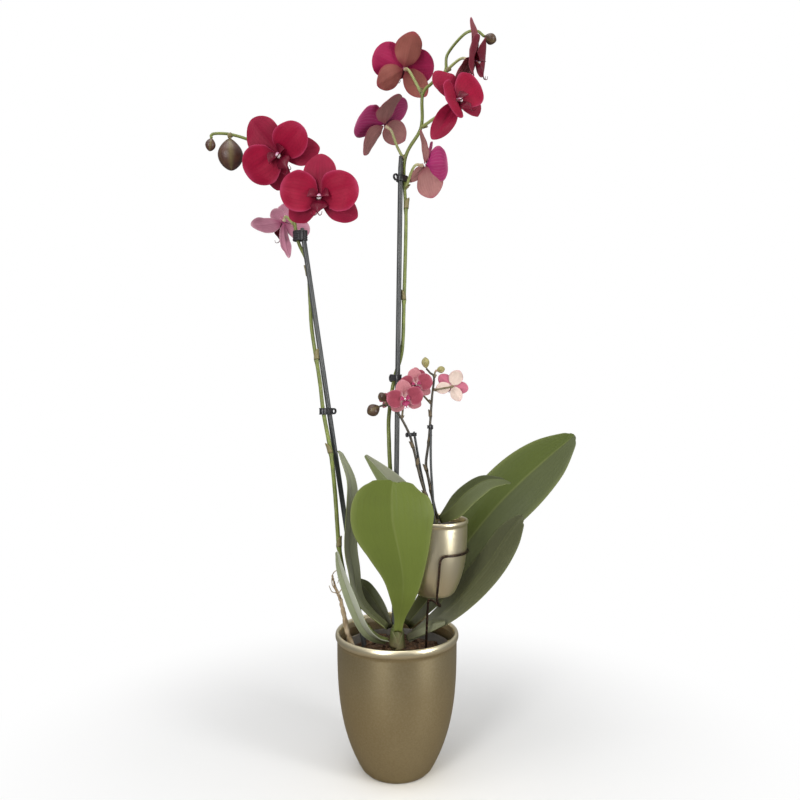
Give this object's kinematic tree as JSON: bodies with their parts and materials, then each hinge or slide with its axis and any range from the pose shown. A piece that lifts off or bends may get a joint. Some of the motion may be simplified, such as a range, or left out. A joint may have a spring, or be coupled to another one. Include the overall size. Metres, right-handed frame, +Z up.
{
  "type": "potted orchid",
  "caption": "Potted moth orchid with staked flower spikes and broad leaves in a tapering gold pot; a wire holds a miniature potted orchid above it.",
  "frame": {"origin": "centre of the big pot's foot, on the surface it stands on", "axes": "+Z up, -Y towards the front, where the broad front leaf is, +X towards the small pot"},
  "size_m": [0.4107, 0.1573, 0.7884],
  "materials": {
    "champagne_gold": "satin",
    "liner_plastic": "satin",
    "bark": "matte",
    "moss": "matte",
    "bronze_wire": "satin",
    "stake_gray": "satin",
    "clip_black": "gloss",
    "leaf_green": "satin",
    "leaf_dark": "satin",
    "leaf_gray": "satin",
    "stem_green": "satin",
    "stem_brown": "satin",
    "root_brown": "matte",
    "petal_red": "satin",
    "petal_pink": "satin",
    "bud_brown": "satin",
    "bud_green": "satin"
  },
  "bodies": {
    "root": {"aerial_root": "root_brown", "bark_medium": "bark", "bud_left_large": "bud_brown", "bud_left_small": "bud_brown", "bud_right": "bud_brown", "clip_left_lower": "clip_black", "clip_left_upper": "clip_black", "clip_right_lower": "clip_black", "clip_right_upper": "clip_black", "crown": "stem_green", "flower_left_back": "petal_red", "flower_left_front": "petal_red", "flower_left_top": "petal_red", "flower_right_back_high": "petal_red", "flower_right_back_low": "petal_red", "flower_right_front": "petal_red", "flower_right_low": "petal_red", "flower_right_profile": "petal_red", "flower_spike_left": "stem_green", "flower_spike_right": "stem_green", "leaf_front": "leaf_green", "leaf_left_back": "leaf_dark", "leaf_left_edge": "leaf_green", "leaf_left_front": "leaf_gray", "leaf_low_front": "leaf_dark", "leaf_right_lower": "leaf_dark", "leaf_right_upper": "leaf_green", "nursery_pot": "liner_plastic", "outer_pot": "champagne_gold", "small_bud_inner": "bud_brown", "small_bud_left": "bud_brown", "small_bud_right": "bud_green", "small_bud_top": "bud_green", "small_clip_left": "clip_black", "small_clip_right": "clip_black", "small_crown": "stem_green", "small_flower_front": "petal_pink", "small_flower_left": "petal_pink", "small_flower_rear": "petal_pink", "small_flower_right": "petal_pink", "small_flower_upper": "petal_pink", "small_leaf_left": "leaf_gray", "small_leaf_rear": "leaf_dark", "small_leaf_right": "leaf_green", "small_moss": "moss", "small_nursery_pot": "liner_plastic", "small_pot": "champagne_gold", "small_spike_left": "stem_brown", "small_spike_right": "stem_brown", "small_stake_left": "stake_gray", "small_stake_right": "stake_gray", "stake_left": "stake_gray", "stake_right": "stake_gray", "wire_holder": "bronze_wire"}
  },
  "joints": []
}
